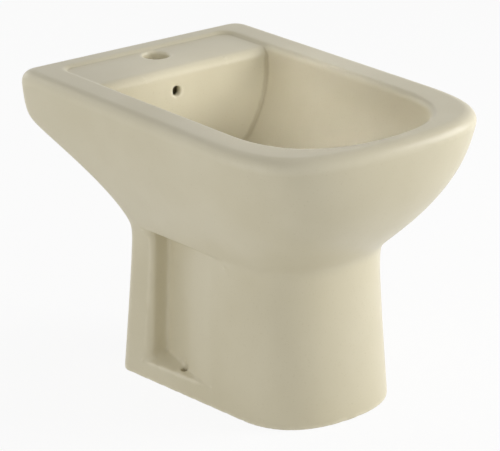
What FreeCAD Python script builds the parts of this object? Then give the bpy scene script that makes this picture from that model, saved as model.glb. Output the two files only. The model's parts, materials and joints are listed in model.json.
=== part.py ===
import FreeCAD, Part
import math
import os

# Floor standing bidet with one tap hole: a glazed ceramic casting, its push plug waste and its bottle trap.
# Millimetres. Up is +Z and the front faces -Y. The origin lies on the floor, under the middle of the rim.

os.makedirs("parts", exist_ok=True)
V = FreeCAD.Vector
up = V(0, 0, 1)
overrun = 5.0

# Ceramic body: overall size and rim
body_length = 540.0
body_width = 374.0
body_height = 390.0
rim_edge_radius = 16.0
rear_corner_radius = 24.0
rim_curve_length = 154.0
rim_fullness_share = 0.814

# Ceramic body: neck between bowl and pedestal, and foot on the floor
neck_height = 205.0
neck_blend = 13.0
neck_rear_width = 241.0
neck_front_width = 221.0
neck_rear_setback = 150.0
neck_front_setback = 110.0
neck_curve_length = 85.0
foot_rear_width = 256.0
foot_front_width = 219.0
foot_rear_setback = 135.0
foot_front_setback = 85.0
foot_curve_length = 83.0
pedestal_corner_radius = 22.0
pedestal_fullness_share = 0.63
rear_face_height = 63.0
side_bulge_power = 1.95
front_bulge_power = 2.3
rear_sweep_power = 2.6
rear_round_power = 1.26
foot_flare_power = 1.07
pedestal_level_shares = (0.0, 0.12, 0.3, 0.5, 0.7, 0.85, 0.94, 0.985)
upper_level_shares = (0.02, 0.06, 0.12, 0.21, 0.31, 0.42, 0.53, 0.62, 0.7, 0.78, 0.88, 1.0)
quarter_share = 0.5523
spline_degree = 3

# Ceramic body: walls and the hollow behind them
wall = 12.0
hollow_lift = 8.0
hollow_roof = 16.0
hollow_level_shares = (0.0, 0.2, 0.5, 0.8, 1.0)

# Bowl and deck
mouth_width = 268.0
mouth_front_setback = 34.0
mouth_rear_setback = 39.0
mouth_curve_length = 120.0
mouth_fullness_share = 0.665
mouth_edge_radius = 11.0
mouth_corner_radius = 14.0
mouth_roll_angle = 72.0
bowl_floor_height = 226.0
bowl_side_power = 2.3
bowl_front_power = 1.3
bowl_rear_power = 2.0
bowl_corner_share = 0.8
bowl_corner_power = 3.0
bowl_level_shares = (1.0, 0.985, 0.94, 0.86, 0.75, 0.62, 0.46, 0.3, 0.14, 0.0)
deck_drop = 4.0
deck_length = 126.0
deck_edge_radius = 13.0
rear_wall_lean = 32.0
rear_wall_bow = 18.0

# Tap hole, overflow passage and waste hole
tap_hole_bore = 35.0
tap_hole_setback = 58.0
tap_hole_lip = 3.0
lip_share = 0.85
overflow_bore = 13.0
overflow_offset = 20.0
overflow_drop = 29.0
duct_width = 48.0
duct_depth = 13.0
duct_wall = 8.0
duct_elbow_rise = 10.0
waste_setback = 240.0
waste_floor_width = 72.0
waste_hole_bore = 46.0
waste_recess_bore = 67.0
waste_recess_depth = 3.0
horn_width = 84.0
horn_height = 46.0
chamber_bore = 60.0
chamber_height = 16.0
chamber_rise = 12.0

# Side recesses of the pedestal, with the floor fixing holes in their ledges
recess_depth = 30.0
recess_rear_setback = 186.0
recess_step_length = 16.0
recess_length = 140.0
recess_edge_radius = 20.0
recess_fade = 3.0
recess_lean = 9.0
recess_rise = 5.0
panel_bend_share = 0.4
ledge_height = 34.0
ledge_fall = 9.0
fixing_bore = 10.0
fixing_spacing = 212.0
fixing_setback = 251.0

# Service opening at the back
service_foot_width = 196.0
service_top_width = 290.0
service_shoulder_height = 200.0
service_side_drop = 100.0
service_drop = 62.0
service_depth = 210.0

# Push plug waste
thread_clearance = 0.15
seal_clearance = 0.1
waste_thread = 41.9
waste_bore = 36.0
waste_length = 78.0
flange_width = 63.0
flange_thickness = 2.0
flange_chamfer = 1.0
flange_seal_thickness = 1.5
flange_seal_width = 62.0
throat_bore = 40.0
throat_depth = 6.0
window_count = 4
window_width = 12.0
window_height = 12.0
spider_ribs = 3
spider_rib = 2.5
spider_height = 6.0
spider_drop = 12.0
hub_width = 16.0
hub_height = 10.0
under_seal_width = 60.0
under_seal_height = 6.0
slip_washer_thickness = 1.5
lock_nut_width = 58.0
lock_nut_height = 12.0
nut_sides = 8
nut_chamfer = 1.5

# Push mechanism, drawn with the plug open
plug_travel = 8.0
seat_gap = 0.3
slide_clearance = 0.08
cap_width = 62.0
cap_thickness = 4.0
cap_crown = 2.5
cap_edge = 1.0
cap_spigot_width = 30.0
cap_spigot_length = 5.0
cap_boss_width = 12.0
cap_boss_length = 5.0
plug_seal_width = 47.0
plug_seal_thickness = 3.0
housing_thread = 10.0
housing_head_width = 14.0
housing_head_height = 3.0
housing_length = 36.0
housing_bore = 7.6
housing_floor = 2.0
stud_width = 5.0
stud_length = 8.0
spring_length = 16.0
spring_width = 6.6
spring_wire = 0.9
spring_turns = 4.5
wire_sides = 6

# Bottle trap
tube_width = 32.0
tube_wall = 1.5
tube_clearance = 0.4
tube_flange_width = 40.0
tube_flange_thickness = 2.5
inlet_seal_thickness = 3.0
nut_lip = 3.0
nut_wall = 4.5
nut_grip = 9.0
trap_width = 66.0
trap_wall = 3.0
trap_bottom = 46.0
trap_top = 104.0
trap_shoulder = 8.0
trap_neck_width = 44.0
trap_neck_height = 20.0
trap_outlet_height = 82.0
packing_seal_thickness = 4.0
branch_width = 40.0
branch_length = 62.0
branch_socket = 18.0
cup_bottom = 20.0
cup_top = 60.0
cup_wall = 4.5
cup_floor = 3.0
cup_chamfer = 6.0
cup_seal_thickness = 2.0
cup_lugs = 8
lug_width = 7.0
lug_depth = 2.5
lug_height = 24.0
dip_height = 33.0
outlet_setback = 40.0

half_length = body_length / 2
neck_range = body_height - neck_height
deck_z = body_height - deck_drop
rear_wall_y = half_length - deck_length
waste_y = half_length - waste_setback
horn_bottom = bowl_floor_height - horn_height
chamber_bottom = horn_bottom + chamber_rise
seal_floor = bowl_floor_height - waste_recess_depth
flange_top = seal_floor + flange_seal_thickness + flange_thickness
waste_bottom = flange_top - waste_length
hub_top = flange_top - spider_drop
housing_top = hub_top + housing_head_height
spring_bottom = housing_top - housing_length + housing_floor
plug_seal_bottom = flange_top + seat_gap + plug_travel
cap_bottom = plug_seal_bottom + plug_seal_thickness
boss_bottom = cap_bottom - cap_spigot_length - cap_boss_length
washer_top = horn_bottom - under_seal_height
washer_bottom = washer_top - slip_washer_thickness
lock_nut_bottom = washer_bottom - lock_nut_height
tube_top = waste_bottom - inlet_seal_thickness
neck_top = trap_top + trap_neck_height


def mix(start, end, share):
    return start + (end - start) * share


def clamp_share(share):
    return min(max(share, 0.0), 1.0)


# Poles of the seven strips of a closed outline: corner, side and half of the front on the right,
# the same on the left, and the straight rear.
def outline_strips(z, rear_half, front_half, rear, curve_start, front, fullness, corner):
    lean = (front_half - rear_half) / (rear - corner - curve_start)
    bend = corner * quarter_share
    handle = (curve_start - front) * fullness
    start = (rear_half, rear - corner)
    end = (front_half, curve_start)
    right = [
        [(rear_half - corner, rear), (rear_half - corner + bend, rear),
         (start[0] - lean * bend, start[1] + bend), start],
        [start, end],
        [end, (end[0] + lean * handle, end[1] - handle), (front_half * fullness, front), (0, front)],
    ]
    left = [[(-x, y) for x, y in reversed(strip)] for strip in reversed(right)]
    strips = right + left + [[left[-1][-1], right[0][0]]]
    return [[V(x, y, z) for x, y in strip] for strip in strips]


# Smooth surface over the poles of one strip, taken from section to section.
def strip_patch(rows):
    across = len(rows[0]) - 1
    along = min(spline_degree, len(rows) - 1)
    spans = len(rows) - along
    ends = [along + 1]
    surface = Part.BSplineSurface()
    surface.buildFromPolesMultsKnots(rows, ends + [1] * (spans - 1) + ends, [across + 1, across + 1],
                                     list(range(spans + 1)), [0, 1], False, False, along, across)
    return surface.toShape()


# Flat face inside one section.
def section_face(section):
    edges = []
    for strip in section:
        curve = Part.BezierCurve()
        curve.setPoles(strip)
        edges.append(curve.toShape())
    return Part.Face(Part.Wire(edges))


# Solid skinned over groups of sections. The skin runs smooth within a group.
def skinned(groups):
    faces = [section_face(groups[0][0]), section_face(groups[-1][-1])]
    for sections in groups:
        for rows in zip(*sections):
            faces.append(strip_patch(list(rows)))
    shell = Part.makeShell(faces)
    shell.sewShape()
    solid = Part.makeSolid(shell)
    if solid.Volume < 0:
        solid.reverse()
    return solid


# Widths and setbacks of the casting's outside at one height.
def casting_sizes(level):
    foot_share = clamp_share(1 - level / neck_height) ** foot_flare_power
    rise = (level - neck_height) / neck_range
    blend = neck_blend / neck_range
    rise_share = clamp_share((rise + math.sqrt(rise * rise + blend * blend)) / 2)
    side_share = 1 - (1 - rise_share) ** side_bulge_power
    front_share = 1 - (1 - rise_share) ** front_bulge_power
    sweep_share = clamp_share((level - neck_height) / (neck_range - rear_face_height))
    rear_share = 1 - (1 - sweep_share ** rear_sweep_power) ** rear_round_power
    return {
        "rear_half": mix(mix(neck_rear_width, foot_rear_width, foot_share), body_width, side_share) / 2,
        "front_half": mix(mix(neck_front_width, foot_front_width, foot_share), body_width, side_share) / 2,
        "rear": half_length - mix(mix(neck_rear_setback, foot_rear_setback, foot_share), 0, rear_share),
        "front": mix(mix(neck_front_setback, foot_front_setback, foot_share), 0, front_share) - half_length,
        "curve": mix(mix(neck_curve_length, foot_curve_length, foot_share), rim_curve_length, front_share),
        "fullness": mix(pedestal_fullness_share, rim_fullness_share, rise_share),
        "corner": mix(pedestal_corner_radius, rear_corner_radius, rise_share),
    }


# Section of the casting at one height, drawn in by an inset. The hollow takes it from a lower height.
def casting_section(z, inset=0.0, lift=0.0):
    s = casting_sizes(z - lift)
    corner = max(s["corner"] - inset, s["corner"] / 2)
    return outline_strips(z, s["rear_half"] - inset, s["front_half"] - inset, s["rear"] - inset,
                          s["front"] + s["curve"], s["front"] + inset, s["fullness"], corner)


# Outer skin of the casting, with its rolled rim.
def casting_skin():
    roll_z = body_height - rim_edge_radius
    bend = rim_edge_radius * quarter_share
    body = [casting_section(share * neck_height) for share in pedestal_level_shares]
    body += [casting_section(mix(neck_height, roll_z, share)) for share in upper_level_shares]
    roll = [body[-1], casting_section(roll_z + bend), casting_section(body_height, rim_edge_radius - bend),
            casting_section(body_height, rim_edge_radius)]
    return skinned([body, roll])


# Hollow between the outer skin and the bowl, open to the floor.
def casting_hollow():
    top = body_height - hollow_roof
    body = [casting_section(-overrun, wall)]
    body += [casting_section(share * neck_height, wall) for share in hollow_level_shares[1:-1]]
    for share in hollow_level_shares:
        body.append(casting_section(mix(neck_height, top, share), wall, hollow_lift))
    return skinned(list(zip(body, body[1:])))


# Section of the bowl at one share of its depth, grown outward by a wall.
def bowl_section(z, share, grow):
    shrink = math.sqrt(1 - share * share)
    floor_half = waste_floor_width / 2
    half = mix(floor_half, mouth_width / 2, shrink ** bowl_side_power)
    rear = mix(waste_y + floor_half, half_length - mouth_rear_setback, shrink ** bowl_rear_power)
    front = mix(waste_y - floor_half, mouth_front_setback - half_length, shrink ** bowl_front_power)
    corner = mix(half * bowl_corner_share, mouth_corner_radius, shrink ** bowl_corner_power)
    curve = mix(floor_half, mouth_curve_length, shrink)
    fullness = mix(pedestal_fullness_share, mouth_fullness_share, shrink)
    return outline_strips(z, half + grow, half + grow, rear + grow, front + curve, front - grow, fullness,
                          corner + grow)


# Room in front of the bowl's rear wall and above the deck. The wall leans and bows,
# and rolls over into the deck.
def front_room(grow):
    radius = 0.0 if grow else deck_edge_radius
    rolled = radius * (1 - math.sqrt(0.5))
    wall_y = rear_wall_y + grow
    level = deck_z - grow
    low = bowl_floor_height - 2 * wall
    high = body_height + 2 * overrun
    profiles = []
    for side in (-1, 0, 1):
        x = side * body_width / 2
        foot_y = wall_y - rear_wall_lean - rear_wall_bow * abs(side)
        corners = [V(x, wall_y + radius, level), V(x, body_length, level), V(x, body_length, high),
                   V(x, -body_length, high), V(x, -body_length, low), V(x, foot_y, low),
                   V(x, wall_y, level - radius)]
        edges = [Part.makeLine(a, b) for a, b in zip(corners, corners[1:])]
        if radius:
            edges.append(Part.Arc(corners[-1], V(x, wall_y + rolled, level - rolled), corners[0]).toShape())
        profiles.append(Part.Wire(edges))
    return Part.makeLoft(profiles, True, False)


# Bowl and deck as one void with a rolled mouth, or the outside of their shell.
def bowl_void(grow):
    turn = math.radians(mouth_roll_angle)
    edge_z = body_height - mouth_edge_radius * math.sin(turn)
    floor_z = bowl_floor_height - grow
    bowl = [bowl_section(mix(edge_z, floor_z, share), share, grow) for share in bowl_level_shares]
    if grow:
        bowl.append(bowl_section(body_height + overrun, 0.0, grow))
        groups = list(zip(bowl, bowl[1:]))
    else:
        bend = mouth_edge_radius * 4 / 3 * math.tan(turn / 4)
        flare = mouth_edge_radius * (1 - math.cos(turn))
        roll = [bowl[-1], bowl_section(edge_z + bend, 0.0, 0.0),
                bowl_section(body_height - bend * math.cos(turn), 0.0, flare - bend * math.sin(turn)),
                bowl_section(body_height, 0.0, flare)]
        clear_z = body_height + overrun * math.cos(turn)
        mouth = [roll[-1], bowl_section(clear_z, 0.0, flare + overrun * math.sin(turn))]
        groups = [bowl, roll, mouth]
    return skinned(groups).common(front_room(grow))


# Solid of one outline in the plane of symmetry, across a width.
def cross_bar(points, centre_x, width):
    corners = [V(centre_x - width / 2, y, z) for y, z in points + points[:1]]
    return Part.Face(Part.makePolygon(corners)).extrude(V(width, 0, 0))


# Cylinder along the waste's upright axis.
def upright(width, bottom, top):
    return Part.makeCylinder(width / 2, top - bottom, V(0, waste_y, bottom), up)


# Overflow passage: down behind the rear wall, then forward to the chamber in the waste horn.
def overflow_duct(grow):
    slope = rear_wall_lean / (deck_z - deck_edge_radius - bowl_floor_height + 2 * wall)
    top = deck_z - wall + grow
    elbow = bowl_floor_height + duct_elbow_rise
    front_top = rear_wall_y + wall - grow
    front_elbow = front_top - slope * (top - elbow)
    depth = duct_depth + 2 * grow
    mouth_y = waste_y + waste_hole_bore / 2
    chamber_top = chamber_bottom + chamber_height
    points = [(front_top, top), (front_elbow, elbow + grow), (mouth_y - grow, chamber_top + grow),
              (mouth_y - grow, chamber_bottom - grow), (front_elbow + depth, elbow - grow),
              (front_top + depth, top)]
    return cross_bar(points, -overflow_offset / 2, duct_width + 2 * grow)


# Half width of the pedestal's side at one place along the length.
def pedestal_half(y):
    s = casting_sizes(neck_height / 2)
    share = (s["rear"] - s["corner"] - y) / (s["rear"] - s["corner"] - s["front"] - s["curve"])
    return mix(s["rear_half"], s["front_half"], clamp_share(share))


# Outline of the recess in one side of the pedestal: a rounded step, then a panel that runs out to the front.
def recess_outline(side, grow, edge_y, z):
    edge_half = pedestal_half(edge_y) + recess_fade
    turn = math.atan2(recess_depth, recess_step_length)
    radius = recess_edge_radius - grow
    centre = V(side * (edge_half - recess_edge_radius), edge_y, z)
    arc_points = []
    for angle in (0, turn / 2, turn):
        arc_points.append(centre + V(side * radius * math.cos(angle), -radius * math.sin(angle), 0))
    panel_half = edge_half - recess_depth - recess_fade - grow
    corner = V(side * panel_half, edge_y - recess_step_length - recess_fade + grow, z)
    front_y = corner.y - recess_length
    front = V(side * (pedestal_half(front_y) + recess_fade - grow), front_y, z)
    panel = Part.BezierCurve()
    handle = V(front.x, mix(front.y, corner.y, panel_bend_share), z)
    panel.setPoles([corner, mix(corner, front, panel_bend_share), handle, front])
    far_x = side * (edge_half + recess_depth)
    far_front = V(far_x, front_y, z)
    far_rear = V(far_x, edge_y, z)
    return Part.Wire([
        Part.Arc(*arc_points).toShape(),
        Part.makeLine(arc_points[-1], corner),
        panel.toShape(),
        Part.makeLine(front, far_front),
        Part.makeLine(far_front, far_rear),
        Part.makeLine(far_rear, arc_points[0]),
    ])


# Recess above its sloping ledge, or the outside of its wall. Its rear edge leans back towards the foot.
def side_recess(side, grow):
    top_y = half_length - recess_rear_setback
    foot_y = top_y + recess_lean
    top = recess_outline(side, grow, top_y, neck_height + recess_rise + grow)
    foot = recess_outline(side, grow, foot_y, -overrun)
    block = Part.makeLoft([foot, top], True, True)
    if grow:
        return block
    edge_half = pedestal_half(top_y)
    panel_half = edge_half - recess_depth
    fall_share = ledge_fall / recess_depth
    low_x = panel_half - recess_depth
    high_x = edge_half + 2 * recess_depth
    high_z = ledge_height - fall_share * (high_x - panel_half)
    slope = [(low_x, ledge_height + ledge_fall), (high_x, high_z), (high_x, -2 * overrun),
             (low_x, -2 * overrun)]
    start_y = foot_y - 2 * recess_length
    corners = [V(side * x, start_y, z) for x, z in slope + slope[:1]]
    ledge = Part.Face(Part.makePolygon(corners)).extrude(V(0, 3 * recess_length, 0))
    return block.cut(ledge)


# Opening at the back for the pipes, wider above the neck.
def service_opening():
    foot = service_foot_width / 2
    top = service_top_width / 2
    half = [(foot, -overrun), (foot, service_shoulder_height), (top, body_height - service_side_drop),
            (top, body_height - service_drop)]
    outline = [(-x, z) for x, z in half] + half[::-1]
    corners = [V(x, half_length - service_depth, z) for x, z in outline + outline[:1]]
    return Part.Face(Part.makePolygon(corners)).extrude(V(0, service_depth + 2 * overrun, 0))


# Tap hole with a rolled lip.
def tap_hole():
    y = half_length - tap_hole_setback
    radius = tap_hole_bore / 2
    lip_z = deck_z - tap_hole_lip * lip_share
    rolled = tap_hole_lip * (1 - math.sqrt(0.5))
    high = deck_z + overrun
    low = deck_z - wall - overrun
    rim = radius + tap_hole_lip
    points = [V(rim, y, lip_z + tap_hole_lip), V(rim, y, high), V(0, y, high), V(0, y, low),
              V(radius, y, low), V(radius, y, lip_z)]
    edges = [Part.makeLine(p, q) for p, q in zip(points, points[1:])]
    middle = V(radius + rolled, y, lip_z + tap_hole_lip - rolled)
    edges.append(Part.Arc(points[-1], middle, points[0]).toShape())
    return Part.Face(Part.Wire(edges)).revolve(V(0, y, 0), up, 360)


# The casting: outer skin, less its hollow, bowl, recesses, holes and passages.
def ceramic_body():
    sides = (-1, 1)
    keep = [bowl_void(wall), overflow_duct(duct_wall), upright(horn_width, horn_bottom, bowl_floor_height)]
    keep += [side_recess(side, wall) for side in sides]
    hollow = casting_hollow().fuse(service_opening()).cut(keep)
    overflow_start = V(-overflow_offset, rear_wall_y - deck_edge_radius, deck_z - overflow_drop)
    overflow_reach = wall + deck_edge_radius + overrun
    overflow = Part.makeCylinder(overflow_bore / 2, overflow_reach, overflow_start, V(0, 1, 0))
    cuts = [side_recess(side, 0.0) for side in sides]
    cuts += [hollow, bowl_void(0.0), tap_hole(), overflow, overflow_duct(0.0)]
    cuts.append(upright(waste_hole_bore, horn_bottom - overrun, bowl_floor_height + overrun))
    cuts.append(upright(waste_recess_bore, seal_floor, bowl_floor_height + overrun))
    cuts.append(upright(chamber_bore, chamber_bottom, chamber_bottom + chamber_height))
    for side in sides:
        foot = V(side * fixing_spacing / 2, half_length - fixing_setback, -overrun)
        cuts.append(Part.makeCylinder(fixing_bore / 2, ledge_height + 2 * overrun, foot, up))
    body = casting_skin()
    for cut in cuts:
        body = body.cut(cut)
    return body


# Solid turned about the upright axis from radius and height pairs round its section.
def turned(section):
    corners = [V(radius, 0, z) for radius, z in section + section[:1]]
    return Part.Face(Part.makePolygon(corners)).revolve(V(0, 0, 0), up, 360)


# Flat ring about the upright axis.
def ring(width, bore, bottom, height):
    top = bottom + height
    return turned([(bore / 2, bottom), (width / 2, bottom), (width / 2, top), (bore / 2, top)])


# Solid bar with equal sides about the upright axis.
def sided_bar(width, sides, bottom, height):
    radius = width / 2 / math.cos(math.pi / sides)
    corners = []
    for i in range(sides + 1):
        angle = 2 * math.pi * i / sides
        corners.append(V(radius * math.cos(angle), radius * math.sin(angle), bottom))
    return Part.Face(Part.makePolygon(corners)).extrude(V(0, 0, height))


# Copies of one shape, evenly spaced round the upright axis.
def spread(shape, count):
    copies = []
    for i in range(count):
        copy = shape.copy()
        copy.rotate(V(0, 0, 0), up, 360 * i / count)
        copies.append(copy)
    return copies


# Eight sided nut with its upper corners turned off.
def sided_nut(width, bore, bottom, height):
    top = bottom + height
    outer = width / 2 / math.cos(math.pi / nut_sides) + nut_chamfer
    fall = 2 * nut_chamfer
    blank = turned([(0, bottom), (outer, bottom), (outer, top - fall), (outer - fall, top), (0, top)])
    hole = ring(bore, 0, bottom - overrun, height + 2 * overrun)
    return sided_bar(width, nut_sides, bottom, height).common(blank).cut(hole)


# Slip nut: a threaded skirt that opens downward, and an inner lip at the top that presses the packing.
def slip_nut(thread, packing):
    bore = thread + 2 * thread_clearance
    depth = nut_grip + packing
    nut = sided_nut(bore + 2 * nut_wall, tube_width + 2 * tube_clearance, -nut_grip, depth + nut_lip)
    return nut.cut(ring(bore, 0, -nut_grip - overrun, depth + overrun))


# Moved from the upright axis at the origin to the waste's axis.
def at_waste(shape, z=0.0):
    moved = shape.copy()
    moved.translate(V(0, waste_y, z))
    return moved


# Laid along the outlet, with its upper end towards the wall.
def at_outlet(shape, y):
    moved = shape.copy()
    moved.rotate(V(0, 0, 0), V(1, 0, 0), -90)
    moved.translate(V(0, y, trap_outlet_height))
    return moved


def waste_body():
    flange_bottom = flange_top - flange_thickness
    tube = turned([
        (waste_bore / 2, waste_bottom), (waste_thread / 2, waste_bottom), (waste_thread / 2, flange_bottom),
        (flange_width / 2, flange_bottom), (flange_width / 2, flange_top - flange_chamfer),
        (flange_width / 2 - flange_chamfer, flange_top), (throat_bore / 2, flange_top),
        (waste_bore / 2, flange_top - throat_depth),
    ])
    window_z = chamber_bottom + (chamber_height - window_height) / 2
    window = Part.makeBox(waste_thread, window_width, window_height, V(0, -window_width / 2, window_z))
    reach = (waste_bore + waste_thread) / 4
    rib = Part.makeBox(reach, spider_rib, spider_height, V(0, -spider_rib / 2, hub_top - spider_height))
    hub = ring(hub_width, 0, hub_top - hub_height, hub_height)
    screw_bore = housing_thread + 2 * thread_clearance
    screw_hole = ring(screw_bore, 0, hub_top - hub_height - overrun, hub_height + 2 * overrun)
    spider = hub.fuse(spread(rib, spider_ribs))
    return tube.cut(spread(window, window_count)).fuse(spider).cut(screw_hole)


def cartridge_housing():
    bottom = housing_top - housing_length
    shank = housing_thread / 2
    head = housing_head_width / 2
    bore = housing_bore / 2
    return turned([
        (0, bottom), (shank, bottom), (shank, hub_top), (head, hub_top), (head, housing_top),
        (bore, housing_top), (bore, spring_bottom), (0, spring_bottom),
    ])


# Spring of six sided wire, drawn at its open length.
def cartridge_spring():
    pitch = (spring_length - spring_wire) / spring_turns
    radius = (spring_width - spring_wire) / 2
    path = Part.makeHelix(pitch, spring_length - spring_wire, radius)
    wire_radius = spring_wire / 2
    corners = []
    for i in range(wire_sides + 1):
        angle = 2 * math.pi * i / wire_sides
        corners.append(V(radius + wire_radius * math.cos(angle), 0, wire_radius * math.sin(angle)))
    coil = Part.Wire(path).makePipeShell([Part.makePolygon(corners)], True, True)
    coil.translate(V(0, 0, spring_bottom + wire_radius))
    return coil


# Plunger in the housing and the stud that the cap screws onto.
def plug_stem():
    plunger = housing_bore / 2 - slide_clearance
    bottom = spring_bottom + spring_length
    return turned([
        (0, bottom), (plunger, bottom), (plunger, boss_bottom), (stud_width / 2, boss_bottom),
        (stud_width / 2, boss_bottom + stud_length), (0, boss_bottom + stud_length),
    ])


# Crowned plug with a spigot for its seal and a bored boss.
def plug_cap():
    spigot_bottom = cap_bottom - cap_spigot_length
    edge_z = cap_bottom + cap_thickness
    stud_bore = stud_width / 2 + thread_clearance
    boss = cap_boss_width / 2
    spigot = cap_spigot_width / 2
    outer = cap_width / 2
    span = outer - cap_edge
    corners = [
        V(stud_bore, 0, boss_bottom), V(boss, 0, boss_bottom), V(boss, 0, spigot_bottom),
        V(spigot, 0, spigot_bottom), V(spigot, 0, cap_bottom), V(outer, 0, cap_bottom),
        V(outer, 0, edge_z - cap_edge), V(span, 0, edge_z),
    ]
    stud_top = boss_bottom + stud_length + thread_clearance
    inner = [V(0, 0, edge_z + cap_crown), V(0, 0, stud_top), V(stud_bore, 0, stud_top), corners[0]]
    crown_radius = (span * span + cap_crown * cap_crown) / (2 * cap_crown)
    middle_z = edge_z + cap_crown - crown_radius + math.sqrt(crown_radius * crown_radius - span * span / 4)
    edges = [Part.makeLine(a, b) for a, b in zip(corners, corners[1:])]
    edges.append(Part.Arc(corners[-1], V(span / 2, 0, middle_z), inner[0]).toShape())
    edges += [Part.makeLine(a, b) for a, b in zip(inner, inner[1:])]
    return Part.Face(Part.Wire(edges)).revolve(V(0, 0, 0), up, 360)


# Flanged tube from the waste down into the trap's cup.
def inlet_tube():
    flange_bottom = tube_top - tube_flange_thickness
    outer = tube_width / 2
    inner = outer - tube_wall
    flange = tube_flange_width / 2
    return turned([
        (inner, dip_height), (outer, dip_height), (outer, flange_bottom), (flange, flange_bottom),
        (flange, tube_top), (inner, tube_top),
    ])


# Bottle of the trap with its neck and its outlet branch.
def trap_body():
    outer = trap_width / 2
    neck = trap_neck_width / 2
    passage = tube_width + 2 * tube_clearance
    shoulder_z = trap_top - trap_shoulder
    solid = turned([
        (0, trap_bottom), (outer, trap_bottom), (outer, shoulder_z), (neck, trap_top), (neck, neck_top),
        (0, neck_top),
    ])
    solid = solid.fuse(at_outlet(ring(branch_width, 0, 0, branch_length), 0))
    inner = outer - trap_wall
    room = turned([
        (0, trap_bottom - overrun), (inner, trap_bottom - overrun), (inner, shoulder_z - trap_wall),
        (passage / 2, trap_top - trap_wall), (passage / 2, neck_top + overrun), (0, neck_top + overrun),
    ])
    branch_bore = tube_width - 2 * tube_wall
    room = room.fuse(at_outlet(ring(branch_bore, 0, 0, branch_length), 0))
    socket = ring(passage, 0, branch_length - branch_socket, branch_socket + overrun)
    return solid.cut(room).cut(at_outlet(socket, 0))


# Cup that screws onto the bottle, with lugs to grip.
def trap_cup():
    bore = trap_width / 2 + thread_clearance
    outer = bore + cup_wall
    inner = trap_width / 2 - trap_wall
    shelf = trap_bottom - cup_seal_thickness
    floor_z = cup_bottom + cup_floor
    side_bottom = cup_bottom + cup_chamfer
    cup = turned([
        (0, cup_bottom), (outer - cup_chamfer, cup_bottom), (outer, side_bottom), (outer, cup_top),
        (bore, cup_top), (bore, shelf), (inner, shelf), (inner, floor_z + cup_floor),
        (inner - cup_floor, floor_z), (0, floor_z),
    ])
    lug_start = V(bore + cup_wall / 2, -lug_width / 2, (side_bottom + cup_top - lug_height) / 2)
    lug = Part.makeBox(cup_wall / 2 + lug_depth, lug_width, lug_height, lug_start)
    return cup.fuse(spread(lug, cup_lugs))


thread_hole = waste_thread + 2 * thread_clearance
tube_hole = tube_width + 2 * seal_clearance
spigot_hole = cap_spigot_width + 2 * seal_clearance
cup_seal_bottom = trap_bottom - cup_seal_thickness
branch_end = waste_y + branch_length
inlet_packing = inlet_seal_thickness + tube_flange_thickness
inlet_nut = slip_nut(waste_thread, inlet_packing)
inlet_nut.rotate(V(0, 0, 0), V(1, 0, 0), 180)
gland_nut = slip_nut(trap_neck_width, packing_seal_thickness)
outlet_nut = slip_nut(branch_width, packing_seal_thickness)
outlet_start = branch_end - branch_socket
outlet_length = half_length - outlet_setback - outlet_start

pieces = {
    "ceramic_body": ceramic_body(),
    "flange_seal": at_waste(ring(flange_seal_width, thread_hole, seal_floor, flange_seal_thickness)),
    "waste_body": at_waste(waste_body()),
    "under_seal": at_waste(ring(under_seal_width, thread_hole, washer_top, under_seal_height)),
    "slip_washer": at_waste(ring(under_seal_width, thread_hole, washer_bottom, slip_washer_thickness)),
    "lock_nut": at_waste(sided_nut(lock_nut_width, thread_hole, lock_nut_bottom, lock_nut_height)),
    "cartridge_housing": at_waste(cartridge_housing()),
    "cartridge_spring": at_waste(cartridge_spring()),
    "plug_stem": at_waste(plug_stem()),
    "plug_cap": at_waste(plug_cap()),
    "plug_seal": at_waste(ring(plug_seal_width, spigot_hole, plug_seal_bottom, plug_seal_thickness)),
    "inlet_nut": at_waste(inlet_nut, waste_bottom),
    "inlet_seal": at_waste(ring(tube_flange_width, tube_width, tube_top, inlet_seal_thickness)),
    "inlet_tube": at_waste(inlet_tube()),
    "neck_nut": at_waste(gland_nut, neck_top),
    "neck_seal": at_waste(ring(trap_neck_width, tube_hole, neck_top, packing_seal_thickness)),
    "trap_body": at_waste(trap_body()),
    "trap_cup": at_waste(trap_cup()),
    "cup_seal": at_waste(ring(trap_width, trap_width - 2 * trap_wall, cup_seal_bottom, cup_seal_thickness)),
    "outlet_nut": at_outlet(outlet_nut, branch_end),
    "outlet_seal": at_outlet(ring(branch_width, tube_hole, 0, packing_seal_thickness), branch_end),
    "outlet_tube": at_outlet(ring(tube_width, tube_width - 2 * tube_wall, 0, outlet_length), outlet_start),
}
for name, shape in pieces.items():
    shape.exportStep("parts/" + name + ".step")
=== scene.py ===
import json
import math
import bpy
import bmesh
import numpy as np
from mathutils import Matrix, Vector
from mathutils.kdtree import KDTree


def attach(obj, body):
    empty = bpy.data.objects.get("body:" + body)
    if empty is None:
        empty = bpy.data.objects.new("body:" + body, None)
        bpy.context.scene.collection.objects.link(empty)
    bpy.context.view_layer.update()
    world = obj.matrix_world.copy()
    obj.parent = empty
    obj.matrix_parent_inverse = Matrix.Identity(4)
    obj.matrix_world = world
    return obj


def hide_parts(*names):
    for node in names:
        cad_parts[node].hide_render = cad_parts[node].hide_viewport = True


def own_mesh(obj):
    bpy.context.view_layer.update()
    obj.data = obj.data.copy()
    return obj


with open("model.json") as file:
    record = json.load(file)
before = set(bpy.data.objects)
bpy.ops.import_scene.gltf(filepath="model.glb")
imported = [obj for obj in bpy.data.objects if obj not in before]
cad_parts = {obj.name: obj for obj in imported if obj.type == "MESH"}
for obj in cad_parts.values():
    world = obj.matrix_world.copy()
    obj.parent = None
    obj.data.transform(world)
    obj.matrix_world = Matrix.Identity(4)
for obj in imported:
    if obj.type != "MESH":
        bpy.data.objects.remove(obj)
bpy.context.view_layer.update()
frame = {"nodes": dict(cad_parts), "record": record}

cadNodes = frame["nodes"]
slotOfNode = {row["node"]: row["material_slot"] for row in frame["record"]["subparts"]}
white = (1.0, 1.0, 1.0, 1.0)
scene = bpy.context.scene
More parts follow.
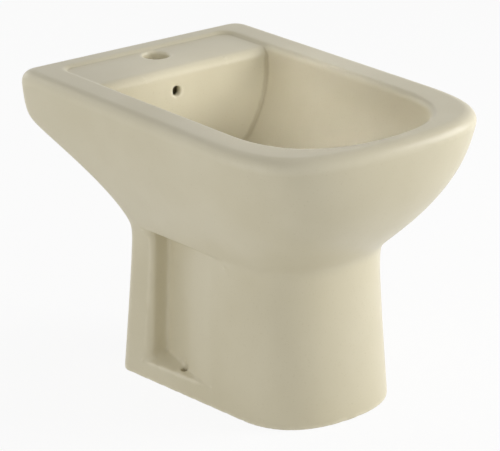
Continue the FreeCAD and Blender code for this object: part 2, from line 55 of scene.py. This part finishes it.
scene.view_settings.view_transform = "Standard"
print("frame loaded:", len(cadNodes), "nodes")


def addToScene(name, data):
    thing = bpy.data.objects.new(name, data)
    scene.collection.objects.link(thing)
    return thing


# node helpers

def emptyMaterial(name):
    material = bpy.data.materials.new(name)
    material.use_nodes = True
    tree = material.node_tree
    tree.nodes.clear()
    return material, tree, tree.nodes.new("ShaderNodeOutputMaterial")


def startFinish(name):
    material, tree, output = emptyMaterial(name)
    shader = tree.nodes.new("ShaderNodeBsdfPrincipled")
    tree.links.new(shader.outputs["BSDF"], output.inputs["Surface"])
    return material, tree, shader


def noiseFrom(tree, coords, scale, detail, roughness=0.5):
    noise = tree.nodes.new("ShaderNodeTexNoise")
    noise.inputs["Scale"].default_value = scale
    noise.inputs["Detail"].default_value = detail
    noise.inputs["Roughness"].default_value = roughness
    tree.links.new(coords, noise.inputs["Vector"])
    return noise.outputs["Fac"]


def objectCoords(tree):
    return tree.nodes.new("ShaderNodeTexCoord").outputs["Object"]


def heightOf(tree, coords):
    node = tree.nodes.new("ShaderNodeSeparateXYZ")
    tree.links.new(coords, node.inputs[0])
    return node.outputs["Z"]


def toneRamp(tree, value, places, tones):
    ramp = tree.nodes.new("ShaderNodeValToRGB")
    elements = ramp.color_ramp.elements
    while len(elements) < len(tones):
        elements.new(0.5)
    for element, place, tone in zip(elements, places, tones):
        element.position = place
        element.color = (*tone, 1.0)
    tree.links.new(value, ramp.inputs["Fac"])
    return ramp.outputs["Color"]


def mapRange(tree, value, low, high, fromLow=0.0, fromHigh=1.0):
    node = tree.nodes.new("ShaderNodeMapRange")
    node.inputs["From Min"].default_value = fromLow
    node.inputs["From Max"].default_value = fromHigh
    node.inputs["To Min"].default_value = low
    node.inputs["To Max"].default_value = high
    tree.links.new(value, node.inputs["Value"])
    return node.outputs["Result"]


def bothBy(tree, operation, first, second):
    node = tree.nodes.new("ShaderNodeMath")
    node.operation = operation
    tree.links.new(first, node.inputs[0])
    tree.links.new(second, node.inputs[1])
    return node.outputs[0]


def tintBy(tree, share, under, tint):
    node = tree.nodes.new("ShaderNodeMix")
    node.data_type = "RGBA"
    node.inputs["B"].default_value = (*tint, 1.0)
    tree.links.new(share, node.inputs["Factor"])
    tree.links.new(under, node.inputs["A"])
    return node.outputs["Result"]


def bumpFrom(tree, height, strength, distance, under=None):
    node = tree.nodes.new("ShaderNodeBump")
    node.inputs["Strength"].default_value = strength
    node.inputs["Distance"].default_value = distance
    tree.links.new(height, node.inputs["Height"])
    if under is not None:
        tree.links.new(under, node.inputs["Normal"])
    return node.outputs["Normal"]


def mixShaders(tree, share, first, second):
    node = tree.nodes.new("ShaderNodeMixShader")
    tree.links.new(share, node.inputs["Fac"])
    tree.links.new(first, node.inputs[1])
    tree.links.new(second, node.inputs[2])
    return node.outputs["Shader"]


# bone coloured glaze: clouded body tone, a painted highlight on ridges where the glaze is also thinner,
# painted shade in the bowl's creases where the glaze also pools

glaze = {
    "deep": (0.628, 0.574, 0.418),
    "middle": (0.650, 0.597, 0.443),
    "pale": (0.672, 0.620, 0.468),
    "cloudPlaces": (0.30, 0.50, 0.70),
    "cloudScale": 7.0,
    "cloudDetail": 3.0,
    "cloudRoughness": 0.55,
    "speck": (0.560, 0.500, 0.345),
    "speckScale": 420.0,
    "speckDetail": 1.0,
    "speckShare": 0.35,
    "speckNoise": (0.24, 0.36),
    # painted shade: concave creases get a darker tone, partly pooled glaze
    "creaseShade": (0.470, 0.410, 0.270),
    "creaseShading": 0.8,
    "creaseShadeBend": (0.40, 1.2),
    "creaseShadeHeight": (0.20, 0.26),  # painted shade, kept to the bowl's creases only
    # painted highlight: ridges get a paler tone, partly thinner glaze
    "edge": (0.780, 0.728, 0.570),
    "thinGlazeAndHighlight": 0.6,
    "edgeBend": (-1.0, -0.3),
    "waveScale": 26.0,
    "waveDetail": 2.0,
    "waveBump": (0.10, 0.0012),
    "peelScale": 240.0,
    "peelDetail": 1.0,
    "peelBump": (0.05, 0.0003),
    "roughness": (0.29, 0.37),
    "ior": 1.5,
    "specular": 0.18,
    "coat": 0.04,
    "coatRoughness": 0.12,
}


def glazeColourWithPaintedLight(tree, coords):
    cloud = noiseFrom(tree, coords, glaze["cloudScale"], glaze["cloudDetail"], glaze["cloudRoughness"])
    body = toneRamp(tree, cloud, glaze["cloudPlaces"], (glaze["deep"], glaze["middle"], glaze["pale"]))
    speck = noiseFrom(tree, coords, glaze["speckScale"], glaze["speckDetail"])
    specked = mapRange(tree, speck, glaze["speckShare"], 0.0, *glaze["speckNoise"])
    body = tintBy(tree, specked, body, glaze["speck"])
    node = tree.nodes.new("ShaderNodeAttribute")
    node.attribute_name = "bend"  # softenEdges writes it
    bend = node.outputs["Fac"]
    # painted shade: concave creases in the bowl get a darker tone, partly pooled glaze
    creaseShadeShare = mapRange(tree, bend, 0.0, glaze["creaseShading"], *glaze["creaseShadeBend"])
    raised = mapRange(tree, heightOf(tree, coords), 0.0, 1.0, *glaze["creaseShadeHeight"])
    body = tintBy(tree, bothBy(tree, "MULTIPLY", creaseShadeShare, raised), body, glaze["creaseShade"])
    # painted highlight on ridges, partly thinner glaze
    thinGlazeAndHighlightShare = mapRange(tree, bend, glaze["thinGlazeAndHighlight"], 0.0, *glaze["edgeBend"])
    return tintBy(tree, thinGlazeAndHighlightShare, body, glaze["edge"])


def boneGlaze():
    material, tree, shader = startFinish("boneGlaze")
    coords = objectCoords(tree)
    tree.links.new(glazeColourWithPaintedLight(tree, coords), shader.inputs["Base Color"])
    wave = noiseFrom(tree, coords, glaze["waveScale"], glaze["waveDetail"])
    peel = noiseFrom(tree, coords, glaze["peelScale"], glaze["peelDetail"])
    tree.links.new(mapRange(tree, wave, *glaze["roughness"]), shader.inputs["Roughness"])
    waved = bumpFrom(tree, wave, *glaze["waveBump"])
    tree.links.new(bumpFrom(tree, peel, *glaze["peelBump"], waved), shader.inputs["Normal"])
    shader.inputs["IOR"].default_value = glaze["ior"]
    shader.inputs["Specular IOR Level"].default_value = glaze["specular"]
    shader.inputs["Coat Weight"].default_value = glaze["coat"]
    shader.inputs["Coat Roughness"].default_value = glaze["coatRoughness"]
    return material


# finishes of the fittings: two tones that run into each other

smearing = {"detail": 3.0, "roughness": 0.6, "places": (0.35, 0.65)}


def smearedTones(tree, coords, look):
    smear = noiseFrom(tree, coords, look["scale"], smearing["detail"], smearing["roughness"])
    return smear, toneRamp(tree, smear, smearing["places"], look["tones"])


metalFinishes = {
    "polishedChrome": {"tones": [(0.70, 0.71, 0.73), (0.80, 0.81, 0.83)], "roughness": (0.05, 0.14),
                       "scale": 60.0, "bump": (0.03, 0.0002), "turned": 0.0},
    "turnedBrass": {"tones": [(0.55, 0.38, 0.15), (0.70, 0.52, 0.24)], "roughness": (0.22, 0.38),
                    "scale": 90.0, "bump": (0.12, 0.0002), "turned": 180.0, "wobble": 0.6},
    "springWire": {"tones": [(0.36, 0.36, 0.37), (0.52, 0.52, 0.53)], "roughness": (0.24, 0.36),
                   "scale": 400.0, "bump": (0.03, 0.0002), "turned": 0.0},
}


def latheMarks(tree, coords, look):
    wave = tree.nodes.new("ShaderNodeTexWave")
    wave.bands_direction = "Z"  # they ring the upright axis
    wave.inputs["Scale"].default_value = look["turned"]
    wave.inputs["Distortion"].default_value = look["wobble"]
    tree.links.new(coords, wave.inputs["Vector"])
    return wave.outputs["Fac"]


def metalFinish(name):
    look = metalFinishes[name]
    material, tree, shader = startFinish(name)
    coords = objectCoords(tree)
    smear, tone = smearedTones(tree, coords, look)
    marks = latheMarks(tree, coords, look) if look["turned"] else smear
    tree.links.new(tone, shader.inputs["Base Color"])
    tree.links.new(mapRange(tree, smear, *look["roughness"]), shader.inputs["Roughness"])
    tree.links.new(bumpFrom(tree, marks, *look["bump"]), shader.inputs["Normal"])
    shader.inputs["Metallic"].default_value = 1.0
    return material


softFinishes = {
    "sealRubber": {"tones": [(0.030, 0.030, 0.031), (0.055, 0.054, 0.052)], "roughness": (0.55, 0.75),
                   "scale": 160.0, "grain": 900.0, "grainDetail": 1.0, "bump": (0.25, 0.0002)},
    "mouldedPlastic": {"tones": [(0.72, 0.72, 0.69), (0.80, 0.80, 0.77)], "roughness": (0.28, 0.40),
                       "scale": 22.0, "grain": 1300.0, "grainDetail": 1.0, "bump": (0.10, 0.0002)},
    "washerPlastic": {"tones": [(0.60, 0.60, 0.56), (0.70, 0.70, 0.66)], "roughness": (0.40, 0.52),
                      "scale": 50.0, "grain": 1100.0, "grainDetail": 1.0, "bump": (0.10, 0.0002)},
}


def softFinish(name):
    look = softFinishes[name]
    material, tree, shader = startFinish(name)
    coords = objectCoords(tree)
    tone = smearedTones(tree, coords, look)[1]
    grain = noiseFrom(tree, coords, look["grain"], look["grainDetail"])
    tree.links.new(tone, shader.inputs["Base Color"])
    tree.links.new(mapRange(tree, grain, *look["roughness"]), shader.inputs["Roughness"])
    tree.links.new(bumpFrom(tree, grain, *look["bump"]), shader.inputs["Normal"])
    return material


finishOfSlot = {
    "chrome": metalFinish("polishedChrome"),
    "brass": metalFinish("turnedBrass"),
    "spring_steel": metalFinish("springWire"),
    "seal_rubber": softFinish("sealRubber"),
    "trap_plastic": softFinish("mouldedPlastic"),
    "washer_plastic": softFinish("washerPlastic"),
    "bone_glaze": boneGlaze(),
}
for nodeName, node in cadNodes.items():
    node.data.materials.clear()
    node.data.materials.append(finishOfSlot[slotOfNode[nodeName]])
print("finishes set:", len(finishOfSlot))


# glazed casting: the ceramic's own form with every edge softened, as glaze leaves it

casting = {
    "weld": 0.00001,
    "voxel": 0.0025,
    "edgeAngle": 0.5,  # what turns more is a sharp edge
    "edgeSteps": 4,  # points along it for each voxel
    "edgeSnap": 0.0019,
    "edgeRound": 0.0025,
    "roundShare": 0.5,
    "recessOut": 0.07,  # creases of the side recesses are rounder and fade out with them
    "recessTop": 0.215,
    "creaseRound": 0.012,
    "creaseFade": 0.8,
    "softening": 0.5,
    "softPasses": 4,
    "softReach": 0.0075,  # full softening starts this far from an edge
    "bendPasses": 16,
    "bendReach": 0.001,
    "leastEdge": 0.00005,
}


def evaluatedMesh(piece):
    graph = bpy.context.evaluated_depsgraph_get()
    return bpy.data.meshes.new_from_object(piece.evaluated_get(graph))


def relaxed(points, edges, passes):
    counts = np.bincount(edges.ravel(), minlength=len(points))[:, None]
    for _ in range(passes):
        sums = np.empty_like(points)
        for axis in range(3):
            far = points[edges[:, ::-1].ravel(), axis]
            sums[:, axis] = np.bincount(edges.ravel(), far, len(points))
        points = points + casting["softening"] * (sums / counts - points)
    return points


def inRecess(place):
    return abs(place.x) > casting["recessOut"] and place.z < casting["recessTop"]


def sharpEdges(form):
    line, pulls, reaches = [], [], []
    for edge in form.edges:
        if not edge.is_manifold or edge.calc_face_angle() < casting["edgeAngle"]:
            continue
        start, end = (corner.co for corner in edge.verts)
        middle = (edge.link_faces[0].normal + edge.link_faces[1].normal).normalized()
        turn, reach = edge.calc_face_angle_signed(), casting["edgeRound"]
        if turn < 0 and inRecess(start):
            turn, reach = min(0.0, turn + casting["creaseFade"]), casting["creaseRound"]
        pull = middle * -math.sin(turn / 2) * casting["roundShare"] * reach
        steps = math.ceil(edge.calc_length() / casting["voxel"] * casting["edgeSteps"])
        line += [start.lerp(end, step / steps) for step in range(steps + 1)]
        pulls += [pull] * (steps + 1)
        reaches += [reach] * (steps + 1)
    tree = KDTree(len(line))
    for number, point in enumerate(line):
        tree.insert(point, number)
    tree.balance()
    return tree, pulls, reaches


def softenEdges(mesh, line, pulls, reaches):
    # points near a sharp edge go onto it, then the edge rounds over by the same amount all along
    points = np.empty((len(mesh.vertices), 3))
    loose = np.ones((len(points), 1))
    for corner in mesh.vertices:
        point, number, gap = line.find(corner.co)
        if gap < casting["edgeSnap"]:
            corner.co, gap = point, 0.0
        if gap < reaches[number]:
            corner.co += pulls[number] * (1 - gap / reaches[number]) ** 2
        loose[corner.index] = min(1.0, gap / casting["softReach"])
        points[corner.index] = corner.co
    edges = np.empty(len(mesh.edges) * 2, np.int32)
    mesh.edges.foreach_get("vertices", edges)
    edges = edges.reshape(-1, 2)
    even = relaxed(points, edges, 1)
    soft = even + loose * (relaxed(even, edges, casting["softPasses"]) - even)
    mesh.vertices.foreach_set("co", soft.ravel())
    mesh.update()
    normals = np.empty(len(points) * 3, np.float32)
    mesh.vertex_normals.foreach_get("vector", normals)
    # hollows are above zero and ridges below it
    bend = ((relaxed(soft, edges, casting["bendPasses"]) - soft) * normals.reshape(-1, 3)).sum(axis=1)
    mesh.attributes.new("bend", "FLOAT", "POINT").data.foreach_set("value", bend / casting["bendReach"])


def dropSlivers(mesh):
    form = bmesh.new()
    form.from_mesh(mesh)
    bmesh.ops.dissolve_degenerate(form, dist=casting["leastEdge"], edges=form.edges)
    form.to_mesh(mesh)
    form.free()


def glazedCasting():
    form = bmesh.new()
    form.from_mesh(cadNodes["ceramic_body"].data)
    bmesh.ops.remove_doubles(form, verts=form.verts, dist=casting["weld"])
    mesh = bpy.data.meshes.new("castingFacets")
    form.to_mesh(mesh)
    line, pulls, reaches = sharpEdges(form)
    form.free()
    piece = addToScene("glazedCasting", mesh)
    skin = piece.modifiers.new("skin", "REMESH")
    skin.mode = "VOXEL"
    skin.voxel_size = casting["voxel"]
    settle = piece.modifiers.new("settle", "SHRINKWRAP")
    settle.target = cadNodes["ceramic_body"]
    piece.data = evaluatedMesh(piece)
    piece.modifiers.clear()
    softenEdges(piece.data, line, pulls, reaches)
    dropSlivers(piece.data)
    piece.data.name = "glazedCasting"
    piece.data.shade_smooth()
    piece.data.materials.clear()
    piece.data.materials.append(finishOfSlot["bone_glaze"])
    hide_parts("ceramic_body")
    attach(piece, "base")
    print("casting glazed:", len(piece.data.vertices), "points")


glazedCasting()


# push plug and coil spring: copies of their nodes with every seam closed

closing = {"seam": 0.000005, "sliver": 0.00002, "sharpAngle": 0.5}


def closedCopy(pieceName, nodeName, body):
    slot = slotOfNode[nodeName]
    form = bmesh.new()
    form.from_mesh(cadNodes[nodeName].data)
    bmesh.ops.remove_doubles(form, verts=form.verts, dist=closing["seam"])
    bmesh.ops.dissolve_degenerate(form, dist=closing["sliver"], edges=form.edges)
    mesh = bpy.data.meshes.new(pieceName)
    form.to_mesh(mesh)
    form.free()
    mesh.shade_smooth()
    mesh.set_sharp_from_angle(angle=closing["sharpAngle"])
    mesh.materials.append(finishOfSlot[slot])
    piece = addToScene(pieceName, mesh)
    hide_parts(nodeName)
    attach(piece, body)
    print(pieceName, "set:", len(mesh.vertices), "points")
    return piece


def coilSpring():
    piece = closedCopy("coilSpring", "cartridge_spring", "base")
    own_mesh(piece)


closedCopy("pushPlug", "plug_cap", "plug")
coilSpring()


# floor: white to the camera and in reflections, with a faint shadow under the object

floor = {"size": 9.0, "drop": 0.0002, "colour": (0.92, 0.92, 0.91), "whiteShare": 0.90}


def seenRays(tree):
    path = tree.nodes.new("ShaderNodeLightPath")
    seen = path.outputs["Is Camera Ray"]
    for ray in ("Is Glossy Ray", "Is Transmission Ray"):
        seen = bothBy(tree, "MAXIMUM", seen, path.outputs[ray])
    return seen


def floorFinish():
    material, tree, output = emptyMaterial("paleFloor")
    diffuse = tree.nodes.new("ShaderNodeBsdfDiffuse")
    diffuse.inputs["Color"].default_value = (*floor["colour"], 1.0)
    glow = tree.nodes.new("ShaderNodeEmission")
    share = mapRange(tree, seenRays(tree), 0.0, floor["whiteShare"])
    above = mixShaders(tree, share, diffuse.outputs["BSDF"], glow.outputs["Emission"])
    # from below the floor is clear, so that the underside can be seen
    below = tree.nodes.new("ShaderNodeNewGeometry").outputs["Backfacing"]
    clear = tree.nodes.new("ShaderNodeBsdfTransparent").outputs["BSDF"]
    tree.links.new(mixShaders(tree, below, above, clear), output.inputs["Surface"])
    return material


def paleFloor():
    half, low = floor["size"] / 2, -floor["drop"]
    corners = [(-half, -half, low), (half, -half, low), (half, half, low), (-half, half, low)]
    mesh = bpy.data.meshes.new("paleFloor")
    mesh.from_pydata(corners, [], [(0, 1, 2, 3)])
    mesh.materials.append(floorFinish())
    addToScene("paleFloor", mesh)


paleFloor()
print("floor laid")


# studio light: bright softbox on the right, weaker ones on the left and behind, two small ones for the bowl

softboxes = {
    "rightSoftbox": {"place": (1.9, -1.25, 1.02), "aim": (0.0, 0.0, 0.30), "size": (1.3, 1.3),
                     "power": 40.0, "spread": 180.0},
    "leftSoftbox": {"place": (-2.1, 0.2, 0.45), "aim": (0.0, 0.0, 0.15), "size": (1.4, 0.9),
                    "power": 7.5, "spread": 180.0},
    "rearSoftbox": {"place": (-0.5, 2.2, 1.2), "aim": (0.0, 0.0, 0.30), "size": (1.2, 1.0),
                    "power": 7.5, "spread": 180.0},
    "wallSoftbox": {"place": (-0.20, -1.0, 0.95), "aim": (0.03, 0.12, 0.350), "size": (0.22, 0.03),
                    "power": 0.028, "spread": 8.0},
    "bowlSoftbox": {"place": (-0.75, 0.20, 1.0), "aim": (0.09, -0.07, 0.32), "size": (0.36, 0.06),
                    "power": 0.052, "spread": 11.0},
}
roomLight = {"horizon": 0.82, "zenith": 0.22}


def hangSoftbox(name):
    box = softboxes[name]
    lamp = bpy.data.lights.new(name, "AREA")
    lamp.shape = "RECTANGLE"
    lamp.size, lamp.size_y = box["size"]
    lamp.energy = box["power"]
    lamp.spread = math.radians(box["spread"])
    hung = addToScene(name, lamp)
    hung.location = box["place"]
    hung.rotation_euler = (Vector(box["aim"]) - hung.location).to_track_quat("-Z", "Y").to_euler()


def lightRoom():
    world = bpy.data.worlds.new("paleRoom")
    scene.world = world
    world.use_nodes = True
    tree = world.node_tree
    tree.nodes.clear()
    output = tree.nodes.new("ShaderNodeOutputWorld")
    room = tree.nodes.new("ShaderNodeBackground")
    room.inputs["Color"].default_value = white
    height = heightOf(tree, tree.nodes.new("ShaderNodeTexCoord").outputs["Generated"])
    strength = mapRange(tree, height, roomLight["horizon"], roomLight["zenith"])
    tree.links.new(strength, room.inputs["Strength"])
    backdrop = tree.nodes.new("ShaderNodeBackground")
    backdrop.inputs["Color"].default_value = white
    mixed = mixShaders(tree, seenRays(tree), room.outputs["Background"], backdrop.outputs["Background"])
    tree.links.new(mixed, output.inputs["Surface"])


for softboxName in softboxes:
    hangSoftbox(softboxName)
lightRoom()
print("lights hung:", len(softboxes))


# camera at the photograph's angle

view = {"azimuth": 39.38, "elevation": 20.69, "distance": 3.074, "target": (-0.01347, 0.0, 0.21013),
        "lens": 172.9, "sensor": 36.0}


def placeCamera():
    turn = math.radians(-view["azimuth"])
    lift = math.radians(view["elevation"])
    back = Vector((math.sin(turn) * math.cos(lift), -math.cos(turn) * math.cos(lift), math.sin(lift)))
    right = Vector((math.cos(turn), math.sin(turn), 0.0))
    up = back.cross(right)
    data = bpy.data.cameras.new("photoCamera")
    data.lens = view["lens"]
    data.sensor_width = view["sensor"]
    camera = addToScene("photoCamera", data)
    place = Vector(view["target"]) + back * view["distance"]
    axes = Matrix((right, up, back)).transposed().to_4x4()
    camera.matrix_world = Matrix.Translation(place) @ axes
    scene.camera = camera


placeCamera()
print("camera placed")
